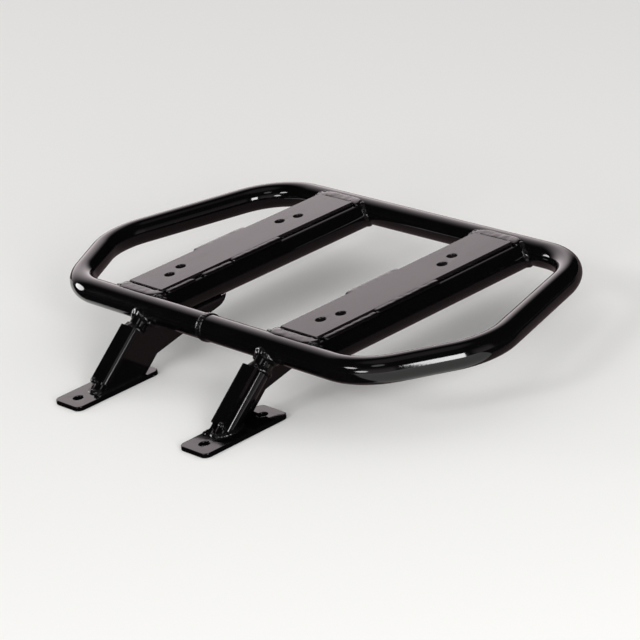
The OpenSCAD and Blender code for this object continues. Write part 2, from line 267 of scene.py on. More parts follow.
girth = add_node(laying, "GeometryNodeInputNamedAttribute", {"Name": "girth"}, data_type="FLOAT")
crown = add_node(laying, "GeometryNodeInputNamedAttribute", {"Name": "crown"}, data_type="FLOAT")
spine = add_node(laying, "GeometryNodeInputPosition")
along = add_node(laying, "GeometryNodeSplineParameter")
total = add_node(laying, "GeometryNodeSplineLength")
left_over = add_node(laying, "ShaderNodeMath",
                     {0: total.outputs["Length"], 1: along.outputs["Length"]},
                     operation="SUBTRACT")
to_end = add_node(laying, "ShaderNodeMath",
                  {0: along.outputs["Length"], 1: left_over.outputs[0]}, operation="MINIMUM")
in_girths = add_node(laying, "ShaderNodeMath",
                     {0: to_end.outputs[0], 1: girth.outputs["Attribute"]},
                     operation="DIVIDE")
in_girths.use_clamp = True
outward = add_node(laying, "ShaderNodeMath", {0: 1.0, 1: in_girths.outputs[0]},
                   operation="SUBTRACT")
square = add_node(laying, "ShaderNodeMath", {0: outward.outputs[0], 1: 2.0}, operation="POWER")
rest = add_node(laying, "ShaderNodeMath", {0: END_BLUNTNESS, 1: square.outputs[0]},
                operation="SUBTRACT")
round_end = add_node(laying, "ShaderNodeMath", {0: rest.outputs[0]}, operation="SQRT")
cyclic = add_node(laying, "GeometryNodeInputSplineCyclic")
full = add_node(laying, "GeometryNodeSwitch",
                {"Switch": cyclic.outputs[0], "False": round_end.outputs[0], "True": 1.0},
                input_type="FLOAT")
notes = add_node(laying, "GeometryNodeCaptureAttribute", {"Geometry": fine.outputs["Curve"]})
for kind, label, source in (("FLOAT", "along", along.outputs["Length"]),
                            ("FLOAT", "full", full.outputs["Output"]),
                            ("FLOAT", "girth", girth.outputs["Attribute"]),
                            ("FLOAT", "crown", crown.outputs["Attribute"]),
                            ("VECTOR", "spine", spine.outputs["Position"]),
                            ("VECTOR", "facing", facing.outputs["Attribute"])):
    notes.capture_items.new(kind, label)
    laying.links.new(source, notes.inputs[label])
section = add_node(laying, "GeometryNodeCurvePrimitiveCircle",
                   {"Resolution": BEAD_FACETS, "Radius": 1.0})
noted = notes.outputs
rod = add_node(laying, "GeometryNodeCurveToMesh",
               {"Curve": noted["Geometry"], "Profile Curve": section.outputs["Curve"],
                "Scale": noted["girth"], "Fill Caps": True})
out = add_node(laying, "GeometryNodeInputNormal").outputs["Normal"]
skin = add_node(laying, "GeometryNodeInputPosition")
from_spine = add_node(laying, "ShaderNodeVectorMath",
                      {0: skin.outputs["Position"], 1: noted["spine"]}, operation="SUBTRACT")
rise = add_node(laying, "ShaderNodeVectorMath", {0: from_spine.outputs[0], 1: noted["facing"]},
                operation="DOT_PRODUCT")
crown_cos = add_node(laying, "ShaderNodeMath", {0: rise.outputs["Value"], 1: noted["girth"]},
                     operation="DIVIDE").outputs["Value"]
lag = add_node(laying, "ShaderNodeMath", {0: crown_cos, 1: RIPPLE_LAG}, operation="MULTIPLY")
count = add_node(laying, "ShaderNodeMath",
                 {0: noted["along"], 1: given["Ripple pitch"]}, operation="DIVIDE")
phase = add_node(laying, "ShaderNodeMath", {0: count.outputs[0], 1: lag.outputs[0]},
                 operation="ADD")
angle = add_node(laying, "ShaderNodeMath", {0: phase.outputs[0], 1: math.pi},
                 operation="MULTIPLY")
wave = add_node(laying, "ShaderNodeMath", {0: angle.outputs[0]}, operation="SINE")
scallop = add_node(laying, "ShaderNodeMath", {0: wave.outputs[0]}, operation="ABSOLUTE")
dip = add_node(laying, "ShaderNodeMath", {0: scallop.outputs[0], 1: 1.0}, operation="SUBTRACT")
low = add_node(laying, "ShaderNodeMath", {0: dip.outputs[0], 1: noted["crown"]},
               operation="MULTIPLY")
ripple = add_node(laying, "ShaderNodeMath",
                  {0: low.outputs[0], 1: given["Ripple height"]}, operation="MULTIPLY")
lumps_a_metre = add_node(laying, "ShaderNodeMath", {0: 1.0, 1: given["Lump size"]},
                         operation="DIVIDE")
wander = add_node(laying, "ShaderNodeTexNoise",
                  {"W": given["Seed"], "Scale": lumps_a_metre.outputs[0], "Detail": 1.0},
                  noise_dimensions="4D")
centred = add_node(laying, "ShaderNodeMath", {0: wander.outputs["Fac"], 1: NOISE_MIDDLE},
                   operation="SUBTRACT")
uneven = add_node(laying, "ShaderNodeMath",
                  {0: centred.outputs[0], 1: given["Unevenness"]}, operation="MULTIPLY")
surface = add_node(laying, "ShaderNodeMath", {0: ripple.outputs[0], 1: uneven.outputs[0]},
                   operation="ADD")
narrowing = add_node(laying, "ShaderNodeMath", {0: noted["full"], 1: 1.0},
                     operation="SUBTRACT")
shrink = add_node(laying, "ShaderNodeMath", {0: narrowing.outputs[0], 1: noted["girth"]},
                  operation="MULTIPLY")
kept = add_node(laying, "ShaderNodeMath", {0: surface.outputs[0], 1: noted["full"]},
                operation="MULTIPLY")
swell = add_node(laying, "ShaderNodeMath", {0: kept.outputs[0], 1: shrink.outputs[0]},
                 operation="ADD")
swelling = add_node(laying, "ShaderNodeVectorMath", {0: out, "Scale": swell.outputs[0]},
                    operation="SCALE")
quarter = add_node(laying, "ShaderNodeMath", {0: crown_cos, 1: math.pi / 2},
                   operation="MULTIPLY")
broad = add_node(laying, "ShaderNodeMath", {0: quarter.outputs[0]}, operation="SINE")
risen = add_node(laying, "ShaderNodeMath", {0: broad.outputs[0], 1: noted["crown"]},
                 operation="MULTIPLY")
lowered = add_node(laying, "ShaderNodeMath", {0: risen.outputs[0], 1: crown_cos},
                   operation="SUBTRACT")
press = add_node(laying, "ShaderNodeMath", {0: lowered.outputs[0], 1: noted["girth"]},
                 operation="MULTIPLY")
press_full = add_node(laying, "ShaderNodeMath", {0: press.outputs[0], 1: noted["full"]},
                      operation="MULTIPLY")
pressing = add_node(laying, "ShaderNodeVectorMath",
                    {0: noted["facing"], "Scale": press_full.outputs[0]}, operation="SCALE")
shift = add_node(laying, "ShaderNodeVectorMath", {0: swelling.outputs[0], 1: pressing.outputs[0]},
                 operation="ADD")
bead = add_node(laying, "GeometryNodeSetPosition",
                {"Geometry": rod.outputs["Mesh"], "Offset": shift.outputs[0]})
smooth = add_node(laying, "GeometryNodeSetShadeSmooth", {0: bead.outputs["Geometry"]})
whole = add_node(laying, "GeometryNodeRealizeInstances", {0: smooth.outputs[0]})
coated = add_node(laying, "GeometryNodeSetMaterial",
                  {0: whole.outputs[0], "Material": given["Coat"]})
add_node(laying, "NodeGroupOutput", {"Beads": coated.outputs[0]})


def lay_beads(name, paths, node, pitch=2.6, ripple=0.3, unevenness=0.9, lump=6.0, seed=1.0):
    """Lays a bead along each path. A path is (closed, half width, height of its crown against
    that, [(point, way the crown faces)])."""
    spots, edges, ways, girths, crowns = [], [], [], [], []
    for closed, girth_mm, crown_share, points in paths:
        first = len(spots)
        for spot, way in points:
            spots.append(spot)
            ways.extend(Vector(way).normalized())
            girths.append(girth_mm * MM)
            crowns.append(crown_share)
        edges += [(i, i + 1) for i in range(first, len(spots) - 1)]
        if closed:
            edges.append((len(spots) - 1, first))
    mesh = bpy.data.meshes.new(name + "_path")
    mesh.from_pydata(spots, edges, [])
    mesh.attributes.new("facing", "FLOAT_VECTOR", "POINT").data.foreach_set("vector", ways)
    mesh.attributes.new("girth", "FLOAT", "POINT").data.foreach_set("value", girths)
    mesh.attributes.new("crown", "FLOAT", "POINT").data.foreach_set("value", crowns)
    carrier = bpy.data.objects.new(name + "_path", mesh)
    bpy.context.collection.objects.link(carrier)
    laid = carrier.modifiers.new("lay", "NODES")
    laid.node_group = laying
    sockets = {s.name: s.identifier for s in laying.interface.items_tree if s.in_out == "INPUT"}
    laid[sockets["Ripple pitch"]] = pitch * MM
    laid[sockets["Ripple height"]] = ripple * MM
    laid[sockets["Unevenness"]] = unevenness * MM
    laid[sockets["Lump size"]] = lump * MM
    laid[sockets["Seed"]] = seed
    laid[sockets["Coat"]] = weld_coat
    return join_rack(name, baked(carrier), weld_coat, "weld_coat", node)


ring = []
for i in range(SEAM_POINTS):
    a = TURN * i / SEAM_POINTS
    ring.append((from_bar(0, TUBE_R * math.sin(a), TUBE_R * math.cos(a)),
                 (0, math.sin(a), math.cos(a))))
lay_beads("loop_joint_bead", [(True, SEAM_HALF_W, SEAM_CROWN / SEAM_HALF_W, ring)],
          "loop_seam_weld", pitch=SEAM_RIPPLE, ripple=0.8, unevenness=0.5, seed=3.0)

# ---------------------------------------------------------------------------------------------
# Rails. Four straight lengths of the same tube run from the front bar to the rear bar, two
# under each plate. Their ends are coped to the bars' round and they sit 2 mm lower than the
# loop, so that a plate's face comes about level with the bars' tops.
# ---------------------------------------------------------------------------------------------
RAIL_R = 11.0
RAIL_BORE_R = 9.0
RAIL_X = (74.0, 121.0)
RAIL_Z = -2.0
FIT_GAP = 0.3
RAIL_START = 5.0
TUBE_AROUND = 96
SHARP_EDGE = math.radians(35)


def coped_tube(origin, along, up, outer, bore, start, end):
    """A tube's closed mesh, in millimetres from the front bar. start and end give how far along
    it is cut, at a height over its centre line."""
    bm = bmesh.new()
    rings = []
    for radius, cut in ((outer, start), (outer, end), (bore, end), (bore, start)):
        ring = []
        for i in range(TUBE_AROUND):
            a = TURN * i / TUBE_AROUND
            height = radius * math.cos(a)
            spot = (Vector(origin) + Vector((radius * math.sin(a), 0, 0))
                    + Vector(up) * height + Vector(along) * cut(height))
            ring.append(bm.verts.new(from_bar(*spot)))
        rings.append(ring)
    for a, b in zip(rings, rings[1:] + rings[:1]):
        for i in range(TUBE_AROUND):
            j = (i + 1) % TUBE_AROUND
            bm.faces.new((a[i], a[j], b[j], b[i]))
    bmesh.ops.recalc_face_normals(bm, faces=bm.faces)
    for face in bm.faces:
        face.smooth = True
    for edge in bm.edges:
        edge.smooth = edge.calc_face_angle() < SHARP_EDGE
    mesh = bpy.data.meshes.new("tube")
    bm.to_mesh(mesh)
    bm.free()
    return mesh


def cope(height, reach):
    """How far from a bar's centre line a tube is cut to fit round it, at that height."""
    return math.sqrt(max(reach ** 2 - height ** 2, 0))


for side, hand in ((1, "left"), (-1, "right")):
    for x, row in zip(RAIL_X, ("inner", "outer")):
        mesh = coped_tube(
            (side * x, 0, RAIL_Z), (0, 1, 0), (0, 0, 1), RAIL_R, RAIL_BORE_R,
            lambda h: max(cope(RAIL_Z + h, TUBE_R + FIT_GAP), RAIL_START),
            lambda h: LOOP_L - max(cope(RAIL_Z + h, TUBE_R + FIT_GAP), RAIL_START))
        join_rack(f"{hand}_{row}_rail_tube", mesh, tube_coat, "frame_coat",
                  f"{hand}_{row}_rail")

# ---------------------------------------------------------------------------------------------
# Rail welds. A bead goes all round each rail where its coped end meets the bar, so it follows
# the saddle that two round tubes make.
# ---------------------------------------------------------------------------------------------
RAIL_BEAD = 3.0
RAIL_BEAD_CROWN = 0.75
RAIL_BEAD_SINK = 2.2        # it is drawn in under the bar, flush with the rail
SADDLE_POINTS = 80

for side, hand in ((1, "left"), (-1, "right")):
    for x, row in zip(RAIL_X, ("inner", "outer")):
        paths = []
        for end in (1, -1):
            saddle = []
            for i in range(SADDLE_POINTS):
                a = TURN * i / SADDLE_POINTS
                z = RAIL_Z + (RAIL_R - RAIL_BEAD_SINK * max(-math.cos(a), 0) ** 2) * math.cos(a)
                y = max(cope(z, TUBE_R), RAIL_START)
                from_end = y if end == 1 else LOOP_L - y
                way = Vector((math.sin(a), end * y / TUBE_R, math.cos(a) + z / TUBE_R))
                saddle.append((from_bar(side * x + RAIL_R * math.sin(a), from_end, z), way))
            paths.append((True, RAIL_BEAD, RAIL_BEAD_CROWN, saddle))
        lay_beads(f"{hand}_{row}_rail_beads", paths, f"{hand}_{row}_rail_welds",
                  pitch=5.2, ripple=0.8, unevenness=1.4, lump=5.0, seed=2.0 + side + x / 50)

# ---------------------------------------------------------------------------------------------
# Top plates. Two strips of 3 mm steel flat, 44 mm wide, laid along a pair of rails, with two
# patterns of four 8.5 mm holes over both plates for a case's mounting kit. The holes are
# punched before welding, and the coat rounds every edge.
# ---------------------------------------------------------------------------------------------
PAIR_X = 97.5
PLATE_W = 44.0
PLATE_L = 209.0
PLATE_T = 3.0
PLATE_UNDER = 9.0
PLATE_START = 13.0
PLATE_CORNER_R = 1.5
PLATE_EDGE_R = 0.7
HOLE_R = 4.25
HOLES = ((96.0, 38.0), (101.5, 54.0), (101.5, 162.0), (96.0, 178.0))
EDGE_STEPS = 3
CORNER_STEPS = 8
HOLE_FACETS = 64
PLATE_PEEL_SIZE = 2.0
PLATE_PEEL_DEPTH = 0.02
RUB_WIDTH = 5.0
RUB_STRETCH = 0.12
PLATE_PATCH_SIZE = 38.0

# The same coat on a flat plate. Lying level it shows the backdrop as an even grey sheen, a
# little dulled by a fine peel and by the rub marks of what was strapped on it.
plate_coat, tree, shader = new_finish("gloss_black_powder_coat_on_plate")
place = add_node(tree, "ShaderNodeTexCoord").outputs["Object"]
peel = add_node(tree, "ShaderNodeTexNoise",
                {"Vector": place, "Scale": 1 / (PLATE_PEEL_SIZE * MM), "Detail": 2.0,
                 "Roughness": 0.45})
relief = add_node(tree, "ShaderNodeBump",
                  {"Height": peel.outputs["Fac"], "Strength": 1.0,
                   "Distance": PLATE_PEEL_DEPTH * MM})
lengthwise = add_node(tree, "ShaderNodeMapping",
                      {"Vector": place, "Scale": (1.0, RUB_STRETCH, 1.0)})
rubbing = add_node(tree, "ShaderNodeTexNoise",
                   {"Vector": lengthwise.outputs["Vector"], "Scale": 1 / (RUB_WIDTH * MM),
                    "Detail": 7.0, "Roughness": 0.7})
patches = add_node(tree, "ShaderNodeTexNoise",
                   {"Vector": place, "Scale": 1 / (PLATE_PATCH_SIZE * MM), "Detail": 5.0,
                    "Roughness": 0.6})
both = add_node(tree, "ShaderNodeMath",
                {0: rubbing.outputs["Fac"], 1: patches.outputs["Fac"]}, operation="MULTIPLY")
dulling = add_node(tree, "ShaderNodeMapRange",
                   {"Value": both.outputs["Value"], "From Min": 0.15, "From Max": 0.4,
                    "To Min": 0.2, "To Max": 0.26})
shade = add_node(tree, "ShaderNodeMix", {"Factor": patches.outputs["Fac"]}, data_type="RGBA")
shade.inputs["A"].default_value = linear("#0d0b0c")
shade.inputs["B"].default_value = linear("#191517")
tree.links.new(shade.outputs["Result"], shader.inputs["Base Color"])
tree.links.new(dulling.outputs["Result"], shader.inputs["Roughness"])
tree.links.new(relief.outputs["Normal"], shader.inputs["Normal"])
shader.inputs["IOR"].default_value = COAT_IOR


def slab_outline(middle_x, middle_y, width, length, corner, inset):
    """A rounded rectangle's points, set in from its edge."""
    w, l, r = width / 2 - corner, length / 2 - corner, corner - inset
    points = []
    for cx, cy, first in ((w, l, 0), (-w, l, 90), (-w, -l, 180), (w, -l, 270)):
        for i in range(CORNER_STEPS + 1):
            a = math.radians(first + 90 * i / CORNER_STEPS)
            points.append((middle_x + cx + r * math.cos(a), middle_y + cy + r * math.sin(a)))
    return points


def drilled_slab(middle, width, length, bottom, top, corner, edge, holes):
    """A flat piece's closed mesh with rounded edges and through holes, in millimetres from the
    front bar. holes are (x, y, radius)."""
    levels = []
    for i in range(EDGE_STEPS + 1):
        a = math.radians(90 * i / EDGE_STEPS)
        levels.append((edge * (1 - math.sin(a)), top - edge * (1 - math.cos(a))))
    levels += [(inset, top + bottom - z) for inset, z in reversed(levels)]
    bm = bmesh.new()
    flats = []
    for k, (inset, z) in enumerate(levels):
        outlines = [slab_outline(*middle, width, length, corner, inset)]
        for x, y, r in holes:
            outlines.append([(x + (r + inset) * math.cos(TURN * i / HOLE_FACETS),
                              y + (r + inset) * math.sin(TURN * i / HOLE_FACETS))
                             for i in range(HOLE_FACETS)])
        rings = [[bm.verts.new(from_bar(x, y, z)) for x, y in line] for line in outlines]
        if k:
            for a, b in zip(before, rings):
                for i in range(len(a)):
                    j = (i + 1) % len(a)
                    bm.faces.new((a[i], a[j], b[j], b[i]))
        if k in (0, len(levels) - 1):
            flats.append(rings)
        before = rings
    for rings in flats:
        spots = [v for ring in rings for v in ring]
        for triple in tessellate_polygon([[v.co for v in ring] for ring in rings]):
            bm.faces.new([spots[i] for i in triple])
    bmesh.ops.recalc_face_normals(bm, faces=bm.faces)
    for face in bm.faces:
        face.smooth = True
    mesh = bpy.data.meshes.new("slab")
    bm.to_mesh(mesh)
    bm.free()
    carrier = bpy.data.objects.new("slab", mesh)
    bpy.context.collection.objects.link(carrier)
    carrier.modifiers.new("flat faces", "WEIGHTED_NORMAL").weight = 100
    return baked(carrier)


for side, hand in ((1, "left"), (-1, "right")):
    mesh = drilled_slab((side * PAIR_X, PLATE_START + PLATE_L / 2), PLATE_W, PLATE_L,
                        PLATE_UNDER, PLATE_UNDER + PLATE_T, PLATE_CORNER_R, PLATE_EDGE_R,
                        [(side * x, y, HOLE_R) for x, y in HOLES])
    join_rack(f"{hand}_drilled_plate", mesh, plate_coat, "plate_coat", f"{hand}_plate")

# ---------------------------------------------------------------------------------------------
# Plate welds. A thick bead fills the groove between each plate's end and the bar and turns
# round both corners. Along the long edges shorter beads tie the plate to the rails' crowns,
# laid where the torch could reach: in the middle, and in stitches nearer the front.
# ---------------------------------------------------------------------------------------------
END_BEAD = 6.2
END_CROWN = 0.36
END_TOP = 11.5
# across the plate from its middle, and back from the front bar
END_PATH = ((-21.5, 15.0), (-21.5, 11.5), (-19.0, 8.2), (-15.0, 7.2), (0.0, 7.2),
            (15.0, 7.2), (19.0, 8.2), (21.5, 11.5), (21.5, 15.0))
# half width, height against that, distance from the plate's edge, height of the crown
HEAVY = (4.4, 0.5, 0.6, 11.95)
LIGHT = (4.4, 0.38, 2.0, 10.9)
# which long edge, start and finish of each bead
STITCHES = {"left": ((1, 16, 74, LIGHT), (1, 70, 140, HEAVY), (-1, 83, 140, HEAVY)),
            "right": ((-1, 14, 46, LIGHT), (-1, 52, 86, LIGHT), (-1, 84, 140, HEAVY),
                      (1, 83, 140, HEAVY))}
EDGE_SPANS = 12

for side, hand in ((1, "left"), (-1, "right")):
    paths = []
    for end in (1, -1):
        line = []
        for x, y in END_PATH:
            across = y if end == 1 else LOOP_L - y
            line.append((from_bar(side * PAIR_X + x, across, END_TOP - END_BEAD * END_CROWN),
                         (0, 0, 1)))
        paths.append((False, END_BEAD, END_CROWN, line))
    lay_beads(f"{hand}_plate_end_beads", paths, f"{hand}_plate_end_welds", pitch=9.0,
              ripple=0.25, unevenness=1.0, lump=9.0, seed=5.0 + side)
    paths = []
    for edge, start, finish, (half_w, share, away, top) in STITCHES[hand]:
        x = side * (PAIR_X + edge * (PLATE_W / 2 + away))
        line = [(from_bar(x, start + (finish - start) * i / EDGE_SPANS, top - half_w * share),
                 (0, 0, 1)) for i in range(EDGE_SPANS + 1)]
        paths.append((False, half_w, share, line))
    lay_beads(f"{hand}_plate_edge_beads", paths, f"{hand}_plate_edge_welds", pitch=9.0,
              ripple=0.25, unevenness=0.55, lump=8.0, seed=8.0 + side)

# ---------------------------------------------------------------------------------------------
# Legs. A 16 mm tube slopes forward and down from under the front bar on each side, at 40
# degrees, coped to the bar at its top and cut level where it stands on its foot.
# ---------------------------------------------------------------------------------------------
LEG_R = 8.0
LEG_BORE_R = 6.0
LEG_X = 79.3
LEG_TILT = math.radians(40)
FOOT_T = 4.0
FOOT_TOP = FOOT_T - BAR_Z
DOWN_LEG = Vector((0, -math.cos(LEG_TILT), -math.sin(LEG_TILT)))
AHEAD_OF_LEG = Vector((0, -math.sin(LEG_TILT), math.cos(LEG_TILT)))


def down_to_foot(ahead):
    """How far down the leg the foot's top face is, for a line that far ahead of the leg."""
    return (ahead * math.cos(LEG_TILT) - FOOT_TOP) / math.sin(LEG_TILT)


for side, hand in ((1, "left"), (-1, "right")):
    mesh = coped_tube((side * LEG_X, 0, 0), DOWN_LEG, AHEAD_OF_LEG, LEG_R, LEG_BORE_R,
                      lambda h: cope(h, TUBE_R + FIT_GAP), down_to_foot)
    join_rack(f"{hand}_leg_tube", mesh, tube_coat, "frame_coat", f"{hand}_leg")

# ---------------------------------------------------------------------------------------------
# Brackets. One folded blank of 3 mm sheet stiffens each leg: its web stands on the leg's inner
# side, up to the bar and back along the inner rail's underside, and its front edge is folded
# outwards into a flange that covers the leg. Laser cut, bent, welded all along, then coated.
# ---------------------------------------------------------------------------------------------
BRACKET_EDGE_R = 0.6
MERGE_WITHIN = 0.005
SAME_FACE = math.radians(0.5)
FOLD_LIMIT = math.radians(40)

for hand in ("left", "right"):
    bm = bmesh.new()
    bm.from_mesh(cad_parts[f"{hand}_bracket"].data)
    bmesh.ops.remove_doubles(bm, verts=bm.verts, dist=MERGE_WITHIN * MM)
    bmesh.ops.dissolve_limit(bm, angle_limit=SAME_FACE, verts=bm.verts, edges=bm.edges)
    for face in bm.faces:
        face.smooth = True
    mesh = bpy.data.meshes.new("folded_sheet")
    bm.to_mesh(mesh)
    bm.free()
    carrier = bpy.data.objects.new("folded_sheet", mesh)
    bpy.context.collection.objects.link(carrier)
    soften = carrier.modifiers.new("softened edges", "BEVEL")
    soften.width = BRACKET_EDGE_R * MM
    soften.segments = 3
    soften.limit_method = "ANGLE"
    soften.angle_limit = FOLD_LIMIT
    carrier.modifiers.new("flat faces", "WEIGHTED_NORMAL").weight = 100
    join_rack(f"{hand}_folded_bracket", baked(carrier), tube_coat, "frame_coat",
              f"{hand}_bracket")

# ---------------------------------------------------------------------------------------------
# Feet. A 4 mm steel plate lies flat under each leg and takes two M8 bolts, one before and one
# behind the leg. It is cut and punched from flat bar, and the leg is welded to its middle.
# ---------------------------------------------------------------------------------------------
FOOT_X = 82.0
FOOT_W = 34.0
FOOT_L = 84.0
FOOT_CORNER_R = 6.0
FOOT_BOLT_Y = 58.0

for side, hand in ((1, "left"), (-1, "right")):
    mesh = drilled_slab((side * FOOT_X, -BAR_Y), FOOT_W, FOOT_L, -BAR_Z, FOOT_TOP,
                        FOOT_CORNER_R, PLATE_EDGE_R,
                        [(side * FOOT_X, end * FOOT_BOLT_Y / 2 - BAR_Y, HOLE_R)
                         for end in (-1, 1)])
    join_rack(f"{hand}_drilled_foot", mesh, tube_coat, "frame_coat", f"{hand}_foot")

# ---------------------------------------------------------------------------------------------
# Leg, bracket and foot welds. A bead rings each leg under the bar and again on the foot, one
# follows the web under the rail and round the bar, and one runs along the web on the foot.
# ---------------------------------------------------------------------------------------------
FOOT_BEAD = 2.4
WEB_FOOT_BEAD = 2.0
WEB_BEAD = 2.0
FLANGE_BEAD = 2.3
LEG_TOP_BEAD = 3.5
LEG_TOP_CROWN = 0.8
LEG_SECOND_BEAD = 3.0
LEG_SECOND_CROWN = 0.75
LEG_SECOND_DOWN = 20.0      # the second pass closes the flange's top edge against the leg
RING_POINTS = 72
WEB_X = 68.0
WEB_BACK = 21.5
WEB_START = 15              # the web's bead under the rail runs back from here to its reach
WEB_REACH = 66.0
WEB_SPANS = 10
BAR_BEAD_R = 11.8           # the web's bead round the bar, with its angles in degrees
BAR_BEAD_START = 205
BAR_BEAD_SWEEP = 115
BAR_BEAD_SPANS = 12
FLANGE_FRONT = 11.3
FLANGE_END = 73.2
FLANGE_BEAD_AHEAD = 9.8     # the flange's end bead lies this far ahead of the leg's middle
FLANGE_BEAD_L = 7.3
FLANGE_SPANS = 6
FOOT_BEAD_INSET = 2         # the web's bead on the foot stops this far short of its ends

for side, hand in ((1, "left"), (-1, "right")):
    ring = []
    for i in range(RING_POINTS):
        a = TURN * i / RING_POINTS
        ahead = LEG_R * math.cos(a)
        down = cope(ahead, TUBE_R)
        spot = DOWN_LEG * down + AHEAD_OF_LEG * ahead
        way = AHEAD_OF_LEG * math.cos(a) + Vector((side * math.sin(a), 0, 0)) + spot / TUBE_R
        ring.append((from_bar(side * (LEG_X + LEG_R * math.sin(a)), spot.y, spot.z), way))
    second = []
    for i in range(RING_POINTS):
        a = TURN * i / RING_POINTS
        spot = DOWN_LEG * LEG_SECOND_DOWN + AHEAD_OF_LEG * LEG_R * math.cos(a)
        way = AHEAD_OF_LEG * math.cos(a) + Vector((side * math.sin(a), 0, 0)) - DOWN_LEG * 0.5
        second.append((from_bar(side * (LEG_X + LEG_R * math.sin(a)), spot.y, spot.z), way))
    lay_beads(f"{hand}_leg_bead", [(True, LEG_TOP_BEAD, LEG_TOP_CROWN, ring),
                                   (True, LEG_SECOND_BEAD, LEG_SECOND_CROWN, second)],
              f"{hand}_leg_weld", pitch=5.5, ripple=0.9, unevenness=1.8, lump=5.0,
              seed=11.0 + side)

    under_rail = []
    for i in range(WEB_SPANS + 1):
        back = WEB_START + (WEB_REACH - WEB_START) * i / WEB_SPANS
        under_rail.append((from_bar(side * WEB_X, back, RAIL_Z - RAIL_R), (-side, 0, -0.6)))
    round_bar = []
    for i in range(BAR_BEAD_SPANS + 1):
        a = math.radians(BAR_BEAD_START + BAR_BEAD_SWEEP * i / BAR_BEAD_SPANS)
        round_bar.append((from_bar(side * WEB_X, BAR_BEAD_R * math.cos(a),
                                   BAR_BEAD_R * math.sin(a)),
                          (-side, 0.6 * math.cos(a), 0.6 * math.sin(a))))
    spot = DOWN_LEG * FLANGE_END + AHEAD_OF_LEG * FLANGE_BEAD_AHEAD
    flange_end = [(from_bar(side * (LEG_X + FLANGE_BEAD_L * i / FLANGE_SPANS), spot.y, spot.z),
                   DOWN_LEG) for i in range(FLANGE_SPANS + 1)]
    lay_beads(f"{hand}_bracket_beads",
              [(False, WEB_BEAD, 1.0, under_rail), (False, WEB_BEAD, 1.0, round_bar),
               (False, FLANGE_BEAD, 1.0, flange_end)],
              f"{hand}_bracket_welds", unevenness=0.6, seed=14.0 + side)

    ring = []
    for i in range(RING_POINTS):
        a = TURN * i / RING_POINTS
        ahead = LEG_R * math.cos(a)
        spot = DOWN_LEG * down_to_foot(ahead) + AHEAD_OF_LEG * ahead
        way = (math.sin(a), -math.cos(a), 1)
        ring.append((from_bar(side * LEG_X + LEG_R * math.sin(a), spot.y, FOOT_TOP), way))
    ends = []
    for ahead in (FLANGE_FRONT, -WEB_BACK):
        ends.append((DOWN_LEG * down_to_foot(ahead) + AHEAD_OF_LEG * ahead).y)
    along_web = []
    for i in range(WEB_SPANS + 1):
        back = (ends[0] + FOOT_BEAD_INSET
                + (ends[1] - ends[0] - 2 * FOOT_BEAD_INSET) * i / WEB_SPANS)
        along_web.append((from_bar(side * WEB_X, back, FOOT_TOP), (-side, 0, 1)))
    lay_beads(f"{hand}_foot_beads",
              [(True, FOOT_BEAD, 1.0, ring), (False, WEB_FOOT_BEAD, 1.0, along_web)],
              f"{hand}_foot_welds", seed=17.0 + side)

# ---------------------------------------------------------------------------------------------
# Studio. A plain pale floor under the feet, a white backdrop, soft boxes where the
# photograph's highlights ask for them, and a dark tent that only gloss sees, with three pale
# windows and a dim top. The camera has the photograph's viewing angle.
# ---------------------------------------------------------------------------------------------


def towards(azimuth, elevation):
    """The direction from the rack to something at that azimuth and elevation, in degrees."""
    a, e = math.radians(azimuth), math.radians(elevation)
    return Vector((math.sin(a) * math.cos(e), -math.cos(a) * math.cos(e), math.sin(e)))


def gloss_only(card):
    """Leaves a card to reflections alone."""
    card.visible_camera = card.visible_diffuse = card.visible_shadow = False
    card.visible_transmission = card.visible_volume_scatter = False


RACK_MIDDLE = Vector((0.0, 0.155, 0.05))
FLOOR_HALF_W = 12

bm = bmesh.new()
bmesh.ops.create_grid(bm, x_segments=1, y_segments=1, size=FLOOR_HALF_W)
floor_mesh = bpy.data.meshes.new("floor")
bm.to_mesh(floor_mesh)
bm.free()
floor = bpy.data.objects.new("floor", floor_mesh)
bpy.context.collection.objects.link(floor)
floor_paint, tree, shader = new_finish("matt_white_studio_floor")
shader.inputs["Base Color"].default_value = linear("#f2f1ef")
shader.inputs["Roughness"].default_value = 0.9
shader.inputs["Specular IOR Level"].default_value = 0.1
floor_mesh.materials.append(floor_paint)

TENT_R = 5.0
TENT_DARK = 0.008
TENT_ZENITH = 0.2
ZENITH_START = 66
ZENITH_FULL = 80
# a window's brightness low down, the azimuths where it starts, is full, is full still and
# ends, and the elevation of its top, in degrees
WINDOWS = ((1.95, -80, -120, -132, -156, 52), (0.5, 4, 16, 52, 62, 40),
           (0.4, 82, 94, 108, 118, 40))
bm = bmesh.new()
bmesh.ops.create_uvsphere(bm, u_segments=48, v_segments=24, radius=TENT_R)
lower = [f for f in bm.faces if f.calc_center_median().z < 0]
bmesh.ops.delete(bm, geom=lower, context="FACES")
tent_mesh = bpy.data.meshes.new("dark_tent")
bm.to_mesh(tent_mesh)
bm.free()
tent = bpy.data.objects.new("dark_tent", tent_mesh)
bpy.context.collection.objects.link(tent)
gloss_only(tent)
tent_cloth, tree, shader = new_finish("dark_tent_with_white_window")
place = add_node(tree, "ShaderNodeTexCoord").outputs["Object"]
level = add_node(tree, "ShaderNodeVectorMath", {0: place, 1: (1.0, 1.0, 0.0)},
                 operation="MULTIPLY")
bearing = add_node(tree, "ShaderNodeVectorMath", {0: level.outputs[0]}, operation="NORMALIZE")
rise = add_node(tree, "ShaderNodeSeparateXYZ", {0: place})
zenith = add_node(tree, "ShaderNodeMapRange",
                  {"Value": rise.outputs["Z"],
                   "From Min": TENT_R * math.sin(math.radians(ZENITH_START)),
                   "From Max": TENT_R * math.sin(math.radians(ZENITH_FULL)),
                   "To Min": TENT_DARK, "To Max": TENT_ZENITH},
                  interpolation_type="SMOOTHSTEP")
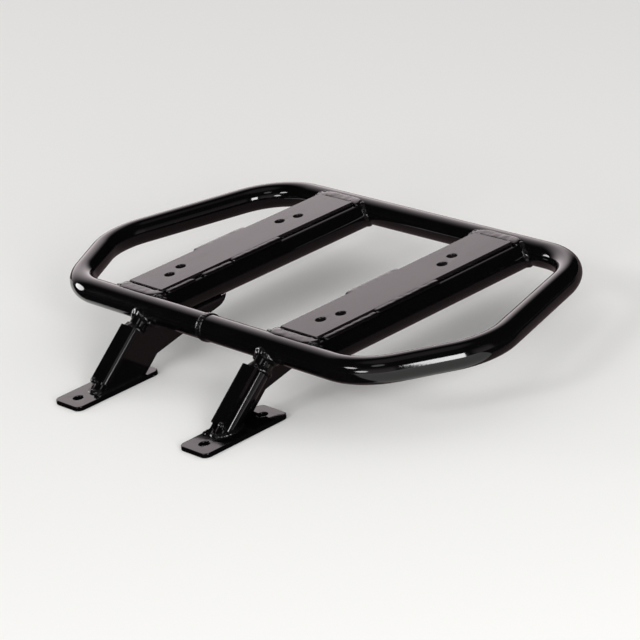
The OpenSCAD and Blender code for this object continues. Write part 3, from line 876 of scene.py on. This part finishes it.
glow = zenith.outputs[0]
for low_light, front, front_full, rear_full, rear, height in WINDOWS:
    edges = []
    for azimuth, full in ((front, front_full), (rear, rear_full)):
        # how far a bearing lies inside that edge of the window, as a sine
        across = towards(azimuth + (-90 if full < azimuth else 90), 0)
        inside = add_node(tree, "ShaderNodeVectorMath", {0: bearing.outputs[0], 1: across},
                          operation="DOT_PRODUCT")
        edges.append(add_node(tree, "ShaderNodeMapRange",
                              {"Value": inside.outputs["Value"], "From Min": 0.0,
                               "From Max": math.sin(math.radians(abs(full - azimuth)))},
                              interpolation_type="SMOOTHSTEP"))
    sides = add_node(tree, "ShaderNodeMath", {0: edges[0].outputs[0], 1: edges[1].outputs[0]},
                     operation="MULTIPLY")
    share = add_node(tree, "ShaderNodeMath",
                     {0: rise.outputs["Z"], 1: TENT_R * math.sin(math.radians(height))},
                     operation="DIVIDE")
    share.use_clamp = True
    fading = add_node(tree, "ShaderNodeMath", {0: share.outputs[0], 1: 2.0}, operation="POWER")
    top = add_node(tree, "ShaderNodeMath", {0: low_light, 1: fading.outputs[0]},
                   operation="MULTIPLY")
    left_at = add_node(tree, "ShaderNodeMath", {0: low_light, 1: top.outputs[0]},
                       operation="SUBTRACT")
    window = add_node(tree, "ShaderNodeMath", {0: sides.outputs[0], 1: left_at.outputs[0]},
                      operation="MULTIPLY")
    glow = add_node(tree, "ShaderNodeMath", {0: glow, 1: window.outputs[0]},
                    operation="ADD").outputs[0]
shader.inputs["Base Color"].default_value = (0, 0, 0, 1)
shader.inputs["Specular IOR Level"].default_value = 0
shader.inputs["Emission Color"].default_value = linear("#fff3f6")
tree.links.new(glow, shader.inputs["Emission Strength"])
tent_mesh.materials.append(tent_cloth)

# Three cards just over the floor keep its white out of the lower half of the tubes, except on
# the camera's side: a black one ahead of the rack, a dull brown one under it, and a black one
# beside and behind it.
CARD_LIFT = 0.0005
CARDS = (("black_floor_card", "#1c1a1b", [(0.195, -3), (0.195, 0.045), (-0.16, 0.045),
                                          (-0.16, 0.02), (-3, 0.02), (-3, -3)]),
         ("brown_floor_card", "#6b5c5d", [(0.185, 0.045), (0.185, 0.12), (0.262, 0.15),
                                          (0.3, 0.16), (0.3, 3), (-3, 3), (-3, 0.12),
                                          (-0.16, 0.12), (-0.16, 0.045)]),
         ("rear_floor_card", "#1c1a1b", [(0.3, 0.16), (3, 0.3), (3, 3), (0.3, 3)]))
for name, colour, outline in CARDS:
    bm = bmesh.new()
    bm.faces.new([bm.verts.new((x, y, CARD_LIFT)) for x, y in outline])
    card_mesh = bpy.data.meshes.new(name)
    bm.to_mesh(card_mesh)
    bm.free()
    card = bpy.data.objects.new(name, card_mesh)
    bpy.context.collection.objects.link(card)
    gloss_only(card)
    card_paint, tree, shader = new_finish(name)
    shader.inputs["Base Color"].default_value = (0, 0, 0, 1)
    shader.inputs["Specular IOR Level"].default_value = 0
    shader.inputs["Emission Color"].default_value = linear(colour)
    shader.inputs["Emission Strength"].default_value = 1.0
    card_mesh.materials.append(card_paint)

# name, shape, azimuth, elevation, distance, width, height, radiance
# (degrees and metres, seen from the rack's middle)
SOFT_BOXES = (("tall_side_box", "RECTANGLE", 67.8, 13.5, 2.6, 0.62, 1.35, 17.0),
              ("high_dim_box", "ELLIPSE", 30, 54, 2.6, 0.6, 0.6, 1.4),
              ("front_right_box", "ELLIPSE", -68, 9, 2.6, 0.95, 0.95, 8.0),
              ("front_high_box", "ELLIPSE", -6, 36, 2.6, 0.7, 0.4, 11.0),
              ("front_low_box", "ELLIPSE", 14, 14, 2.6, 0.7, 0.45, 11.0))
for name, shape, azimuth, elevation, distance, width, height, radiance in SOFT_BOXES:
    lamp = bpy.data.lights.new(name, "AREA")
    lamp.shape = shape
    lamp.size, lamp.size_y = width, height
    face = width * height * (math.pi / 4 if shape == "ELLIPSE" else 1)
    lamp.energy = radiance * math.pi * face
    box = bpy.data.objects.new(name, lamp)
    bpy.context.collection.objects.link(box)
    way = towards(azimuth, elevation)
    box.location = RACK_MIDDLE + way * distance
    box.rotation_euler = way.to_track_quat("Z", "Y").to_euler()

WORLD_LIGHT = 0.63          # what the white backdrop gives the scene as light
world = bpy.data.worlds.new("white_backdrop")
bpy.context.scene.world = world
world.use_nodes = True
tree = world.node_tree
tree.nodes.clear()
seen = add_node(tree, "ShaderNodeLightPath").outputs
direct = add_node(tree, "ShaderNodeMath",
                  {0: seen["Is Camera Ray"], 1: seen["Is Glossy Ray"]}, operation="MAXIMUM")
shown = add_node(tree, "ShaderNodeMath",
                 {0: direct.outputs[0], 1: seen["Is Transmission Ray"]}, operation="MAXIMUM")
strength = add_node(tree, "ShaderNodeMapRange",
                    {"Value": shown.outputs[0], "To Min": WORLD_LIGHT, "To Max": 1.0})
sky = add_node(tree, "ShaderNodeBackground",
               {"Color": (1, 1, 1, 1), "Strength": strength.outputs["Result"]})
add_node(tree, "ShaderNodeOutputWorld", {"Surface": sky.outputs[0]})

CAMERA_PLACE = Vector((1.7685, -1.1692, 0.9165))
CAMERA_AIM = Vector((0.0091, 0.1545, 0.0185))
CAMERA_ROLL = math.radians(-10.03)
lens = bpy.data.cameras.new("camera")
lens.lens = 165
lens.sensor_width = 36
camera = bpy.data.objects.new("camera", lens)
bpy.context.collection.objects.link(camera)
camera.location = CAMERA_PLACE
camera.rotation_mode = "QUATERNION"
camera.rotation_quaternion = ((CAMERA_AIM - CAMERA_PLACE).to_track_quat("-Z", "Y")
                              @ Quaternion((0, 0, 1), CAMERA_ROLL))
bpy.context.scene.camera = camera
bpy.context.scene.view_settings.view_transform = "Standard"
